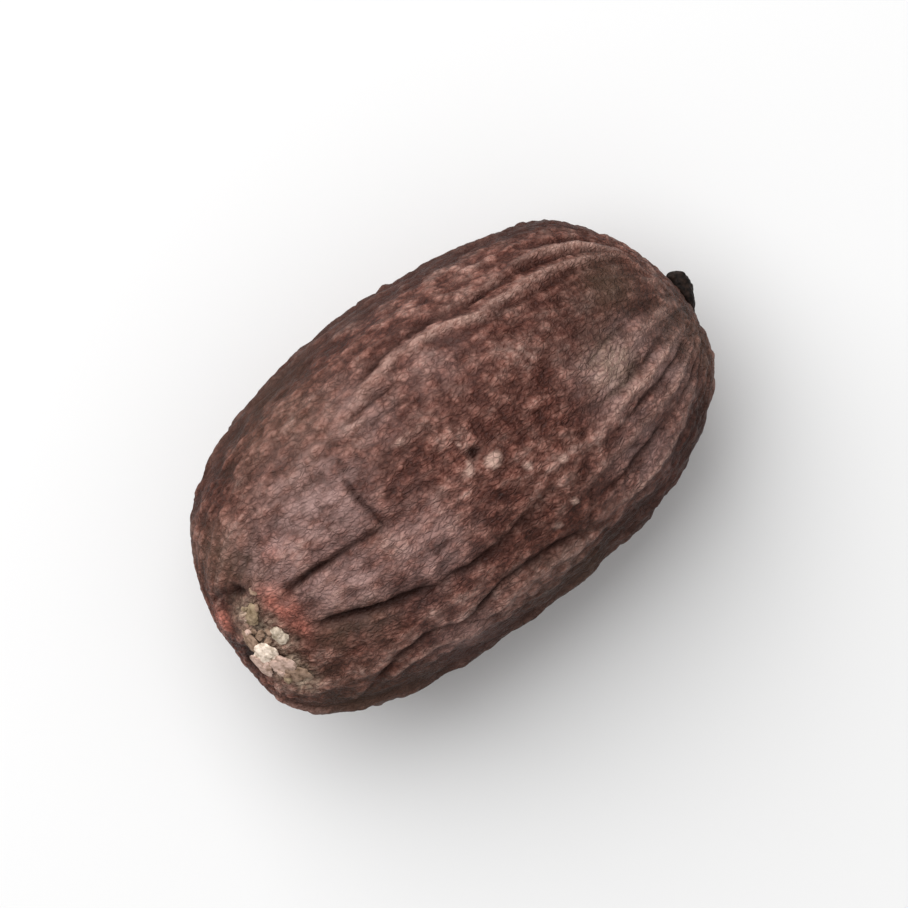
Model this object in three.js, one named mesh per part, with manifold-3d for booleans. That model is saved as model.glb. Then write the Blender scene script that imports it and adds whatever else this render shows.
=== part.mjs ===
// A single dried jojoba seed, lying on its side as it comes out of its husk.
// An oval body with three blunt angles is creased lengthwise by drying. One keel, long grooves and a fan of
// pleats that gathers towards the beak show on its upper side, and uneven ridges run round the sides and
// underneath. The pale scar where the seed hung in its husk is at one end, a small dark beak at the other.
// The seed rests on a small flat spot.
// Millimetres. X runs along the seed from the scar to the beak, Y across it and Z up. The origin is on the
// ground, under the middle of the seed.
import * as THREE from "three";
import Module from "manifold-3d";
import { mergeVertices } from "three/addons/utils/BufferGeometryUtils.js";

// Driving sizes
const LENGTH = 16.4; // the body, without its beak
const WIDTH = 10.05; // between the ridges
const HEIGHT = 9.2; // before the resting flat is taken off
const FLAT_DEPTH = 0.2; // what the resting flat takes off the underside
const ROLL = 1.8; // degrees by which the seed lies rolled towards its -Y side

const HALF_LENGTH = LENGTH / 2;
const HALF_WIDTH = WIDTH / 2;
const HALF_HEIGHT = HEIGHT / 2;
const GROUND = -HALF_HEIGHT + FLAT_DEPTH;

// Form of the body: exponents over 2 make an end, seen from above or from the side, or a cross-section
// squarer than an ellipse. The middle line bends sideways by `sway` and upwards by `lift` towards each end.
const SCAR_END = { above: 2.45, beside: 2.2, sway: -0.82, lift: 0.7 };
const BEAK_END = { above: 2.2, beside: 2.1, sway: -0.44, lift: -0.2 };
const SECTION_BLUNTNESS = 2.15;
const BEND_POWER = 5; // high, so that the middle line bends near its ends only
const ANGLES = { count: 3, at: 52, height: 0.1 }; // blunt angles round the section, one under the keel

// Mesh steps
const AROUND = 112;
const ALONG = 46;

// Creases that show on the upper side. Along the seed -1 is the scar end and 1 the beak end. Round it, in
// degrees, 0 is the +Y side, 90 the top and 180 the -Y side. `at` says where a crease lies at its start,
// middle and end. It is `wide` degrees to either side and rises by `height`, or sinks where that is below
// zero.
const UPPER_CREASES = [
  { from: -0.15, to: 0.43, at: [57, 51.6, 58], wide: 4, height: 0.17 }, // the keel
  { from: 0.39, to: 0.85, at: [55, 52.5, 48], wide: 3.4, height: 0.14 }, // its lower strand
  { from: 0.58, to: 0.9, at: [42.5, 40.5, 46], wide: 3.4, height: 0.14 }, // its upper strand
  { from: -0.73, to: -0.29, at: [90, 92.5, 94], wide: 3.4, height: -0.2 },
  { from: -0.69, to: 0.13, at: [111, 123, 121.5], wide: 3.6, height: -0.24 }, // the longest groove
  { from: -0.63, to: -0.29, at: [150.5, 139, 143.5], wide: 3.4, height: -0.2 },
  { from: -0.27, to: 0.25, at: [141.7, 137.5, 143.5], wide: 3.4, height: -0.2 },
  { from: 0.57, to: 0.94, at: [102, 97, 92], wide: 6, height: 0.12 }, // the first of four pleats
  { from: 0.4, to: 0.9, at: [117, 114.5, 114.5], wide: 4, height: 0.12 },
  { from: 0.36, to: 0.88, at: [127.5, 128.5, 130], wide: 4, height: 0.1 },
  { from: 0.34, to: 0.76, at: [144, 148.5, 146], wide: 4, height: 0.1 },
  { from: 0.54, to: 0.8, at: [109, 109, 107.5], wide: 2.6, height: -0.12 }, // the grooves between the pleats
  { from: 0.38, to: 0.84, at: [121.5, 121, 122], wide: 2.6, height: -0.1 },
  { from: 0.4, to: 0.7, at: [137, 137, 136], wide: 3.2, height: -0.12 },
];

// Ridges round the rest of the seed, spaced unevenly by a seeded draw. The longest runs from `scarmost` to
// `beakmost`, others end up to `short` before these. Widths and heights vary between two shares of `wide` and
// `height`, and a ridge bows sideways by up to `bow` degrees.
const SIDE_RIDGES = {
  first: 164,
  last: 384,
  spacing: 15,
  uneven: 4.5,
  bow: 3,
  scarmost: -0.95,
  beakmost: 0.97,
  short: 0.42,
  wide: 5,
  widths: [0.7, 1.2],
  height: 0.14,
  heights: [0.6, 1.4],
  seed: 7,
};

const CREASE_FADE = 0.13; // how far along the seed a crease takes to rise and to sink again
// Creases narrow towards the tips, but less than the rings there do: a power of 0 would narrow them as much,
// one of 0.5 not at all.
const NARROWING = 0.25;

// Broad hollows that drying leaves, and swellings between them, which have a depth below zero: where along,
// where round, how wide in millimetres and how deep
const HOLLOWS = [
  { along: 0.42, round: 82, wide: 3.4, depth: 0.1 },
  { along: -0.45, round: 62, wide: 2.8, depth: 0.08 },
  { along: -0.2, round: 205, wide: 3, depth: 0.12 },
  { along: 0.5, round: 330, wide: 2.6, depth: 0.14 },
  { along: -0.5, round: 350, wide: 2.4, depth: 0.1 },
  { along: 0.72, round: 12, wide: 2, depth: -0.36 },
  { along: -0.74, round: 25, wide: 2, depth: -0.2 },
  { along: -0.78, round: 170, wide: 1.6, depth: -0.06 },
  { along: -0.55, round: 183, wide: 2, depth: -0.13 },
  { along: 0.6, round: 180, wide: 2.2, depth: -0.1 },
];

// The scar: a shallow seat, and crumbs left on it. A crumb is a squashed ball, half sunk, with its half sizes
// along the seed, round it and outwards.
const SCAR_SEAT = { along: -0.83, round: 100, wide: 1.4, depth: 0.14 };
const SCAR_CRUMBS = [
  { along: -0.8, round: 85, halfSizes: [0.4, 0.34, 0.24] },
  { along: -0.78, round: 105, halfSizes: [0.36, 0.34, 0.2] },
  { along: -0.87, round: 106, halfSizes: [0.42, 0.46, 0.3] },
  { along: -0.85, round: 120, halfSizes: [0.44, 0.6, 0.3] },
];
const CRUMB_STEPS = [12, 8]; // round it and from end to end

// Where creases leave the surface bare: near the tips, by the size of the ring there, and near the resting
// flat, by how far down a place lies. Both are shares of the seed's own half sizes.
const TIP_FADE = { none: 0.05, full: 0.5 };
const FLAT_FADE = { full: 0.86, none: 0.96 };

// The beak: a flattened stub that stands out from the middle of its end
const BEAK = { reach: 0.5, root: 1.1, radius: 0.5, flatness: 0.68, side: 0.28, lift: -0.3 };
const BEAK_SIDES = 14;
// Its outline from the root to the tip: shares of the radius, and of the reach
const BEAK_OUTLINE = [
  [1, 0],
  [0.92, 0.4],
  [0.78, 0.75],
  [0.45, 0.95],
  [0, 1],
];

const toRadians = THREE.MathUtils.degToRad;
const { smoothstep, lerp } = THREE.MathUtils;
const FULL_TURN = 360;
const LENGTHWISE = new THREE.Vector3(1, 0, 0);
const TOP = 90;
const MERGE_DISTANCE = 1e-4; // points of one surface nearer than this are one point

// Draws from 0 to 1, the same on each run
const DRAW_FACTOR = 1664525;
const DRAW_STEP = 1013904223;
const DRAW_RANGE = 2 ** 32;
function drawsFrom(seed) {
  let state = seed;
  return () => {
    state = (Math.imul(state, DRAW_FACTOR) + DRAW_STEP) >>> 0;
    return state / DRAW_RANGE;
  };
}

// The shortest way round from one angle to another, in degrees
function turnBetween(from, to) {
  const turn = (((to - from) % FULL_TURN) + FULL_TURN) % FULL_TURN;
  return turn > FULL_TURN / 2 ? turn - FULL_TURN : turn;
}

// Most ridges run nearly from tip to tip, because a squared draw is mostly small.
function sideRidges() {
  const draw = drawsFrom(SIDE_RIDGES.seed);
  const { first, last, spacing, uneven, bow } = SIDE_RIDGES;
  const { scarmost, beakmost, short, wide, widths, height, heights } = SIDE_RIDGES;
  const made = [];
  for (let place = first; place < last; place += spacing) {
    const from = scarmost + short * draw() ** 2;
    const to = beakmost - short * draw() ** 2;
    const end = place + uneven * lerp(-1, 1, draw());
    const middle = end + bow * lerp(-1, 1, draw());
    made.push({
      from,
      to,
      at: [end, middle, end],
      wide: wide * lerp(...widths, draw()),
      height: height * lerp(...heights, draw()),
    });
  }
  return made;
}

const CREASES = [...UPPER_CREASES, ...sideRidges()];

// How much of a crease is left at a place along the seed: all of it inside its stretch, none outside
function stretch(along, from, to) {
  const risen = smoothstep(along, from - CREASE_FADE, from + CREASE_FADE);
  return risen * (1 - smoothstep(along, to - CREASE_FADE, to + CREASE_FADE));
}

// How far round a crease lies: a bow through its places at the start, middle and end
function roundOf({ from, to, at: [start, middle, end] }, along) {
  const share = (along - from) / (to - from);
  const ends = start * (1 - share) * (1 - 2 * share) + end * share * (2 * share - 1);
  return ends + middle * 4 * share * (1 - share);
}

// Creases crowd together towards the tips, but narrow less than the rings there do.
function creaseRelief(along, round) {
  const narrowing = (1 - along * along) ** NARROWING;
  let relief = 0;
  for (const crease of CREASES) {
    const left = stretch(along, crease.from, crease.to);
    const offset = turnBetween(roundOf(crease, along), round) * narrowing;
    relief += crease.height * left * Math.exp(-((offset / crease.wide) ** 2));
  }
  return relief;
}

function angleRelief(round) {
  return ANGLES.height * Math.cos(toRadians(ANGLES.count * (round - ANGLES.at)));
}

// The body without its relief. bend runs from 0 at the scar end to pi at the beak end.
function bodyPoint(bend, roundDegrees) {
  const round = toRadians(roundDegrees);
  const along = -Math.cos(bend);
  const { above, beside, sway, lift } = along < 0 ? SCAR_END : BEAK_END;
  const bluntness = above + (beside - above) * Math.sin(round) ** 2;
  const profile = (Math.abs(along) ** bluntness + Math.sin(bend) ** bluntness) ** (-1 / bluntness);
  const ring = profile * Math.sin(bend);
  const across = Math.abs(Math.cos(round)) ** SECTION_BLUNTNESS;
  const upright = Math.abs(Math.sin(round)) ** SECTION_BLUNTNESS;
  const section = (across + upright) ** (-1 / SECTION_BLUNTNESS);
  const reach = profile * along;
  const bent = Math.abs(reach) ** BEND_POWER;
  return new THREE.Vector3(
    HALF_LENGTH * reach,
    HALF_WIDTH * ring * section * Math.cos(round) + sway * bent,
    HALF_HEIGHT * ring * section * Math.sin(round) + lift * bent,
  ).applyAxisAngle(LENGTHWISE, toRadians(ROLL));
}

// The direction in which the body faces, near enough for low relief
function outward(bend, roundDegrees) {
  const round = toRadians(roundDegrees);
  const ring = Math.sin(bend);
  const facing = new THREE.Vector3(
    -Math.cos(bend) / HALF_LENGTH,
    (ring * Math.cos(round)) / HALF_WIDTH,
    (ring * Math.sin(round)) / HALF_HEIGHT,
  );
  return facing.normalize().applyAxisAngle(LENGTHWISE, toRadians(ROLL));
}

// A place named by how far along and how far round it is, as a point of the body
function placeOn(along, round) {
  return bodyPoint(Math.acos(-along), round);
}

const DENTS = [...HOLLOWS, SCAR_SEAT].map((dent) => ({
  ...dent,
  centre: placeOn(dent.along, dent.round),
}));

function dentRelief(point) {
  let relief = 0;
  for (const { centre, wide, depth } of DENTS) {
    relief -= depth * Math.exp(-point.distanceToSquared(centre) / wide ** 2);
  }
  return relief;
}

// The finished surface, level on the resting flat
function surfacePoint(bend, round) {
  const along = -Math.cos(bend);
  const point = bodyPoint(bend, round);
  const clearOfTips = smoothstep(Math.sin(bend), TIP_FADE.none, TIP_FADE.full);
  const clearOfFlat = 1 - smoothstep(-point.z / HALF_HEIGHT, FLAT_FADE.full, FLAT_FADE.none);
  const lengthwise = (creaseRelief(along, round) + angleRelief(round)) * clearOfTips;
  point.addScaledVector(outward(bend, round), (lengthwise + dentRelief(point)) * clearOfFlat);
  point.z = Math.max(point.z, GROUND);
  return point;
}

// A closed surface of rings between two end points
function bodyGeometry() {
  const positions = [];
  const faces = [];
  const scarTip = 0;
  positions.push(...surfacePoint(0, TOP));
  for (let ring = 1; ring < ALONG; ring++) {
    const bend = (Math.PI * ring) / ALONG;
    for (let step = 0; step < AROUND; step++) {
      positions.push(...surfacePoint(bend, (FULL_TURN * step) / AROUND));
    }
  }
  const beakTip = positions.length / 3;
  positions.push(...surfacePoint(Math.PI, TOP));
  const vertex = (ring, step) => 1 + (ring - 1) * AROUND + (step % AROUND);
  for (let step = 0; step < AROUND; step++) {
    faces.push(scarTip, vertex(1, step + 1), vertex(1, step));
    for (let ring = 1; ring < ALONG - 1; ring++) {
      const [a, b] = [vertex(ring, step), vertex(ring, step + 1)];
      const [c, d] = [vertex(ring + 1, step), vertex(ring + 1, step + 1)];
      faces.push(a, b, d, a, d, c);
    }
    faces.push(beakTip, vertex(ALONG - 1, step), vertex(ALONG - 1, step + 1));
  }
  const geometry = new THREE.BufferGeometry();
  geometry.setAttribute("position", new THREE.Float32BufferAttribute(positions, 3));
  geometry.setIndex(faces);
  return geometry;
}

// A stub turned about its own axis, laid along X with its root sunk in the body
function beakGeometry() {
  const { reach, root, radius, flatness, side, lift } = BEAK;
  const sunk = [
    [0, -root],
    [radius, -root],
  ];
  const shown = BEAK_OUTLINE.map(([wide, far]) => [wide * radius, far * reach]);
  const outline = [...sunk, ...shown].map(([wide, far]) => new THREE.Vector2(wide, far));
  const geometry = new THREE.LatheGeometry(outline, BEAK_SIDES);
  geometry.rotateZ(-Math.PI / 2);
  geometry.scale(1, 1, flatness);
  const tip = placeOn(1, TOP);
  geometry.translate(tip.x, tip.y + side, tip.z + lift);
  return geometry;
}

// A squashed ball on the surface, turned to face outwards there
function crumbGeometry({ along, round, halfSizes }) {
  const bend = Math.acos(-along);
  const facing = outward(bend, round);
  const across = new THREE.Vector3().crossVectors(facing, LENGTHWISE).normalize();
  const lengthwise = new THREE.Vector3().crossVectors(across, facing);
  const seat = surfacePoint(bend, round);
  const turn = new THREE.Matrix4().makeBasis(lengthwise, across, facing).setPosition(seat);
  return new THREE.SphereGeometry(1, ...CRUMB_STEPS).scale(...halfSizes).applyMatrix4(turn);
}

const wasm = await Module();
wasm.setup();

function solidFrom(geometry) {
  const bare = new THREE.BufferGeometry();
  bare.setAttribute("position", geometry.getAttribute("position"));
  bare.setIndex(geometry.index);
  const merged = mergeVertices(bare, MERGE_DISTANCE);
  return new wasm.Manifold(
    new wasm.Mesh({
      numProp: 3,
      vertProperties: new Float32Array(merged.attributes.position.array),
      triVerts: new Uint32Array(merged.index.array),
    }),
  );
}

function geometryFrom(solid) {
  const { vertProperties, triVerts } = solid.getMesh();
  const geometry = new THREE.BufferGeometry();
  geometry.setAttribute("position", new THREE.BufferAttribute(vertProperties, 3));
  geometry.setIndex(new THREE.BufferAttribute(triVerts, 1));
  geometry.computeVertexNormals();
  return geometry;
}

// The body, its beak and the crumbs as one solid, standing on the ground under its own middle
function seedGeometry() {
  const pieces = [bodyGeometry(), beakGeometry(), ...SCAR_CRUMBS.map(crumbGeometry)];
  const geometry = geometryFrom(wasm.Manifold.union(pieces.map(solidFrom)));
  geometry.computeBoundingBox();
  const { min, max } = geometry.boundingBox;
  geometry.translate(-(min.x + max.x) / 2, -(min.y + max.y) / 2, -min.z);
  return geometry;
}

const seed = new THREE.Mesh(
  seedGeometry(),
  new THREE.MeshStandardMaterial({ color: "#5e3d35", roughness: 0.55, metalness: 0 }),
);
seed.name = "seed";

const jojobaSeed = new THREE.Group();
jojobaSeed.add(seed);

export default jojobaSeed;
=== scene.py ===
# One dried jojoba seed on a pale floor, seen from straight above.
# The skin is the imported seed's own form on a finer grid, with the narrow creases, wrinkles and grain that the
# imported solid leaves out. The beak, and the corky crumbs left on the scar, are pieces of their own.
# Sizes are in millimetres up to the point where a mesh is made, and X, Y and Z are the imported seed's.
from collections import namedtuple
from math import cos, radians, sin

import bpy
import numpy as np
from mathutils import Euler, Matrix, Vector, noise


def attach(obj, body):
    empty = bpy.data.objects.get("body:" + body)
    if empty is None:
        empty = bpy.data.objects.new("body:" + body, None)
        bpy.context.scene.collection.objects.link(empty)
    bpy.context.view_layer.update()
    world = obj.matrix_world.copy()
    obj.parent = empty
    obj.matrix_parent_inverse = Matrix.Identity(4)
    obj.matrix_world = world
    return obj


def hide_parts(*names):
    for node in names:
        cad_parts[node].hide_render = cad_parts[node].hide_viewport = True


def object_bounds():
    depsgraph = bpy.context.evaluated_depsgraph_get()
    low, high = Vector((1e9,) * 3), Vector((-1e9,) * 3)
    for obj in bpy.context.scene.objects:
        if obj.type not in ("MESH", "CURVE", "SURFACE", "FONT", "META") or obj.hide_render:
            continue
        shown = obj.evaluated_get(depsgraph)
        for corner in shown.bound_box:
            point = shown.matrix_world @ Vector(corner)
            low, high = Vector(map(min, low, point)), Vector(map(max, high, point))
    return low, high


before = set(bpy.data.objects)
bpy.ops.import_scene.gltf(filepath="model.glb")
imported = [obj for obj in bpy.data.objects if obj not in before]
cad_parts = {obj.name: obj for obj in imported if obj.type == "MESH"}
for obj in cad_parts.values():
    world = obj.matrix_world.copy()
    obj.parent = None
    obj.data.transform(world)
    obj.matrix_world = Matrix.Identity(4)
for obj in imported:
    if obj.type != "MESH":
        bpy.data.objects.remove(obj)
cad_low, cad_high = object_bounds()

MM = 0.001
TOP = 90  # degrees round the seed

# Driving sizes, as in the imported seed
LENGTH = 16.4  # the body, without its beak
WIDTH = 10.05  # between the ridges
HEIGHT = 9.2  # before the resting flat is taken off
FLAT_DEPTH = 0.2
ROLL = 1.8  # degrees by which the seed lies rolled towards its -Y side
HALF_LENGTH = LENGTH / 2
HALF_WIDTH = WIDTH / 2
HALF_HEIGHT = HEIGHT / 2
GROUND = -HALF_HEIGHT + FLAT_DEPTH

# Form of the body: exponents over 2 make an end, seen from above or from the side, or a cross-section
# squarer than an ellipse. The middle line bends sideways by `sway` and upwards by `lift` towards each end.
End = namedtuple("End", "above beside sway lift")
SCAR_END = End(above=2.45, beside=2.2, sway=-0.82, lift=0.7)
BEAK_END = End(above=2.2, beside=2.1, sway=-0.44, lift=-0.2)
SECTION_BLUNTNESS = 2.15
BEND_POWER = 5
# Blunt angles round its section, one of them under the keel
ANGLE_COUNT = 3
ANGLE_AT = 52
ANGLE_HEIGHT = 0.1

# Mesh steps of the skin
AROUND = 360
ALONG = 272

# Creases. Along the seed -1 is the scar end and 1 the beak end. Round it, in degrees, 0 is the +Y side, 90
# the top and 180 the -Y side. `at` says where a crease lies at its start, middle and end. It is `wide`
# degrees to either side and rises by `height`, or sinks where that is below zero.
Crease = namedtuple("Crease", "start end at wide height")
FORM_CREASES = [
    Crease(-0.15, 0.43, (57, 51.6, 58), 4, 0.17),  # the keel
    Crease(0.39, 0.85, (55, 52.5, 48), 3.4, 0.14),  # its lower strand
    Crease(0.58, 0.9, (42.5, 40.5, 46), 3.4, 0.14),  # its upper strand
    Crease(-0.73, -0.29, (90, 92.5, 94), 3.4, -0.2),
    Crease(-0.69, 0.13, (111, 123, 121.5), 3.6, -0.24),  # the longest groove
    Crease(-0.63, -0.29, (150.5, 139, 143.5), 3.4, -0.2),
    Crease(-0.27, 0.25, (141.7, 137.5, 143.5), 3.4, -0.2),
    Crease(0.57, 0.94, (102, 97, 92), 6, 0.12),  # the first of four pleats
    Crease(0.4, 0.9, (117, 114.5, 114.5), 4, 0.12),
    Crease(0.36, 0.88, (127.5, 128.5, 130), 4, 0.1),
    Crease(0.34, 0.76, (144, 148.5, 146), 4, 0.1),
    Crease(0.54, 0.8, (109, 109, 107.5), 2.6, -0.12),  # the grooves between the pleats
    Crease(0.38, 0.84, (121.5, 121, 122), 2.6, -0.1),
    Crease(0.4, 0.7, (137, 137, 136), 3.2, -0.12),
]
# A crease is broad at its foot and sharp along its middle, by shares of its height and width.
SHARP_SHARE = 0.72
FINE_SHARP_SHARE = 0.5
SHARP_WIDTH = 0.38
# How far along the seed a crease takes to rise and to sink again
CREASE_FADE = 0.13
FINE_FADE = 0.06
# Creases narrow towards the tips, but less than the rings there do: a power of 0 would narrow them as much,
# one of 0.5 not at all.
NARROWING = 0.25
FULL_LINE = 0.14  # the height from which a crease's line is coloured in full: painted shade along a groove, paler wear and painted highlight along a crest
CREST_WIDTH = 0.44  # of the coloured lines, as shares of a crease's own width
GROOVE_WIDTH = 0.5
# Creases are higher in some stretches than in others, and shake a little sideways.
CREASE_LEVEL = 0.9
CREASE_VARIES = 0.5
CREASE_VARIES_SIZE = 1.3
SHAKE = 1.1  # degrees
SHAKE_SIZE = 0.9
FINE_SHAKE = SHAKE / 2
FINE_SHAKE_SIZE = SHAKE_SIZE / 3

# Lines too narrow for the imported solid
FINE_CREASES = [
    Crease(-0.08, 0.29, (51, 47.5, 47.5), 2.4, -0.15),  # above the keel
    Crease(0.37, 0.83, (49.5, 46, 44.5), 1.7, -0.12),  # between its strands
    Crease(0.4, 0.8, (59, 57, 54), 2.4, -0.09),  # under its lower strand
    Crease(0.39, 0.6, (47, 45, 43), 1.8, 0.06),  # where its upper strand starts
    Crease(0.63, 0.84, (37, 35, 36), 2, -0.1),  # above its upper strand
    Crease(0.86, 0.965, (47, 59, 84), 3, 0.12),  # a pale edge round the beak end
    Crease(0.88, 0.96, (35, 47, 68), 4, -0.1),  # and a dark one outside it
    Crease(-0.24, -0.13, (62, 62, 61.5), 1.6, 0.1),  # short wrinkles beside the keel
    Crease(-0.22, 0.03, (59, 59, 58.5), 1.6, -0.11),
    Crease(-0.2, 0.04, (64, 65, 66), 1.5, -0.08),
    Crease(-0.14, 0.04, (75, 75.5, 75), 1.3, 0.06),
    Crease(-0.14, 0.04, (78.5, 79, 78.5), 1.5, -0.06),
    Crease(-0.7, -0.33, (90, 92.5, 94), 1.6, -0.1),  # the sharp floors of two grooves
    Crease(-0.67, -0.45, (112, 116, 118.5), 1.8, -0.08),
    Crease(0.22, 0.33, (145, 138.5, 131), 1.8, -0.12),  # the last groove turns up at its end
    Crease(-0.6, -0.29, (152, 145, 151), 2.2, 0.12),  # pale edges under the last grooves
    Crease(-0.22, 0.3, (147, 144, 149), 2.2, 0.1),
    Crease(0.56, 0.86, (93, 89.5, 85), 1.8, -0.07),  # above the first pleat
    Crease(-0.66, -0.53, (98, 98, 98), 1.6, 0.06),  # two short pale lines under the first groove
    Crease(-0.62, -0.52, (104, 104, 104), 1.8, 0.07),
    Crease(0.68, 0.9, (139, 139, 139), 1.7, -0.07),  # between the last pleats
    Crease(-0.95, -0.83, (42, 55, 69), 5, -0.16),  # from the scar to the rim
    Crease(-0.96, -0.9, (75, 62, 50), 5, -0.1),
]

# Ridges round the rest of the seed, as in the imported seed, spaced unevenly by a seeded draw
RIDGE_FIRST = 164
RIDGE_LAST = 384
RIDGE_SPACING = 15
RIDGE_UNEVEN = 4.5
RIDGE_BOW = 3
RIDGE_SCARMOST = -0.95
RIDGE_BEAKMOST = 0.97
RIDGE_SHORT = 0.42
RIDGE_WIDTHS = (3.5, 6)
RIDGE_HEIGHTS = (0.084, 0.196)
RIDGE_SEED = 7

# Broad hollows, and swellings where the depth is below zero: where along, where round, how wide in
# millimetres and how deep
Dent = namedtuple("Dent", "along round wide depth")
DENTS = [
    Dent(0.42, 82, 3.4, 0.1),
    Dent(-0.45, 62, 2.8, 0.08),
    Dent(-0.2, 205, 3, 0.12),
    Dent(0.5, 330, 2.6, 0.14),
    Dent(-0.5, 350, 2.4, 0.1),
    Dent(0.72, 12, 2, -0.36),
    Dent(-0.74, 25, 2, -0.2),
    Dent(-0.78, 170, 1.6, -0.06),
    Dent(-0.55, 183, 2, -0.13),
    Dent(0.6, 180, 2.2, -0.1),
    Dent(-0.83, 100, 1.4, 0.14),  # the seat of the scar
]

# Small pale warts on the upper side, with a depth below zero, and small pits
WARTS = [
    Dent(0.06, 88, 0.13, -0.06),
    Dent(0.035, 97, 0.16, -0.09),
    Dent(0.045, 94, 0.12, -0.06),
    Dent(0.115, 99, 0.18, -0.1),
    Dent(0.14, 97, 0.15, -0.08),
    Dent(0.2, 108, 0.16, -0.07),
    Dent(0.31, 114, 0.17, -0.08),
    Dent(0.26, 129, 0.17, -0.08),
    Dent(0.16, 132, 0.2, -0.06),
    Dent(0.17, 118, 0.14, -0.05),
    Dent(-0.21, 61, 0.12, -0.05),
    Dent(0.34, 55.5, 0.3, -0.045),
    Dent(-0.09, 76, 0.16, -0.06),
    Dent(-0.65, 140, 0.17, -0.06),
    Dent(-0.67, 92, 0.15, -0.04),
    Dent(-0.46, 84, 0.15, -0.04),
]
WART_SHOWS = (0.02, 0.075)  # heights between which a wart gets its colour
PITS = [
    Dent(0.08, 93, 0.22, 0.15),
    Dent(0.2, 95, 0.2, 0.06),
    Dent(0.28, 98, 0.2, 0.06),
    Dent(0.17, 122, 0.17, 0.08),  # the longest groove ends in four pits
    Dent(0.23, 120, 0.16, 0.08),
    Dent(0.24, 114, 0.14, 0.06),
    Dent(0.33, 121, 0.16, 0.06),
    Dent(-0.965, 114, 0.4, 0.24),  # five round the scar
    Dent(-0.87, 91, 0.2, 0.1),
    Dent(-0.785, 111, 0.16, 0.12),
    Dent(-0.83, 69, 0.24, 0.12),
    Dent(-0.9, 58, 0.22, 0.1),
]
# A short crack across the seed is a row of pits.
PITS += [Dent(-0.325, round_at, 0.15, 0.08) for round_at in range(75, 95, 3)]
PIT_SHOWS = (0.02, 0.1)  # depths between which a pit gets its painted shade
# By how much the outlines of warts, pits and patches wander
ROUGHEN = 0.14
ROUGHEN_SIZE = 0.4
ROUGHEN_SHIFTS = (21, 43, 65)

# Bands of painted shade along the two sides, where the rims seen from above fall into shade, in degrees: how
# far round each lies, and at which offset to either side it is still in full and at which it has gone
Band = namedtuple("Band", "round full none")
RIM_SHADE_BANDS = [
    Band(0, 22, 31),
    Band(179, 18, 32),
]
BAND_ENDS = (0.72, 0.95)  # where along the seed the bands fade

# Soft-edged patches: where along, where round, how wide in millimetres and how strong
Patch = namedtuple("Patch", "along round wide strength")
# The crust of the scar
CRUST_PATCHES = [
    Patch(-0.88, 98, 0.7, 1),
    Patch(-0.86, 122, 0.7, 1),
    Patch(-0.76, 96, 0.4, 0.6),
]
# Calm stretches, where wrinkles are lower
CALM = [
    Patch(0.05, 84, 2, 0.9),
    Patch(0.42, 82, 2.2, 0.9),
    Patch(-0.3, 100, 1.2, 0.6),
]

# Where creases leave the surface bare: near the tips, by the size of the ring there, and near the resting
# flat, by how far down a place lies. Both are shares of the seed's own half sizes.
TIP_FADE = (0.05, 0.5)
FLAT_FADE = (0.86, 0.96)

# Wrinkles that run lengthwise, and thin ones among them
STREAK_SIZE = 1.1
STREAK_STRETCH = 6
STREAK_HEIGHT = 0.06
FINE_STREAK_SIZE = 0.45
FINE_STREAK_HEIGHT = 0.045
STREAK_CREST = 0.13  # how near to zero the noise is on a thin wrinkle
STREAK_SHOWS = 0.05  # the height from which a wrinkle's painted shade and highlight are in full
CALMING = 0.75  # the share by which a calm stretch lowers them
WANDER = 5  # degrees by which they wander round the seed
WANDER_SIZE = 3.2
# Faint wrinkles that run round the seed
CROSS_SIZE = 0.42
CROSS_STRETCH = 0.3  # under 1, so that they are longer across than along
CROSS_HEIGHT = 0.03
# Low lumps, which get painted shade and highlight too
LUMP_SIZE = 0.42
LUMP_STRETCH = 1.4
LUMP_HEIGHT = 0.05
LUMP_CONTRAST = 1.6
# Grain: cells with furrows between them, in finer and in coarser stretches
GRAIN_SIZE = 0.34
GRAIN_STRETCH = 1.5
GRAIN_HEIGHT = 0.055
GRAIN_LEAST = 0.35  # the share of its height that is left in the finest stretches
GRAIN_WARP = 0.15  # by how much its furrows wander
GRAIN_WARP_SIZE = 0.3
FURROW_WIDTH = 0.4  # the share of a cell's size over which its edge rises
COARSE_SIZE = 2.2
COARSE_CONTRAST = 2
# Crust on the scar
CRUST_SIZE = 0.32
CRUST_HEIGHT = 0.12
FINE_CRUST_SIZE = CRUST_SIZE / 2.3
FINE_CRUST_SHARE = 0.5


def smoothstep(value, low, high):
    share = np.clip((value - low) / (high - low), 0, 1)
    return share * share * (3 - 2 * share)


# Draws from 0 to 1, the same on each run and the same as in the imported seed
DRAW_FACTOR = 1664525
DRAW_STEP = 1013904223
DRAW_RANGE = 2**32


def draws_from(seed):
    state = seed
    while True:
        state = (state * DRAW_FACTOR + DRAW_STEP) % DRAW_RANGE
        yield state / DRAW_RANGE


def between(low, high, share):
    return low + (high - low) * share


def side_ridges():
    """Most ridges run nearly from tip to tip, because a squared draw is mostly small."""
    draws = draws_from(RIDGE_SEED)
    made = []
    for place in np.arange(RIDGE_FIRST, RIDGE_LAST, RIDGE_SPACING):
        start = RIDGE_SCARMOST + RIDGE_SHORT * next(draws) ** 2
        end = RIDGE_BEAKMOST - RIDGE_SHORT * next(draws) ** 2
        side = place + RIDGE_UNEVEN * between(-1, 1, next(draws))
        middle = side + RIDGE_BOW * between(-1, 1, next(draws))
        wide = between(*RIDGE_WIDTHS, next(draws))
        height = between(*RIDGE_HEIGHTS, next(draws))
        made.append(Crease(start, end, (side, middle, side), wide, height))
    return made


def turn_between(start, end):
    """The shortest way round from one angle to another, in degrees."""
    return (end - start + 180) % 360 - 180


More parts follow.
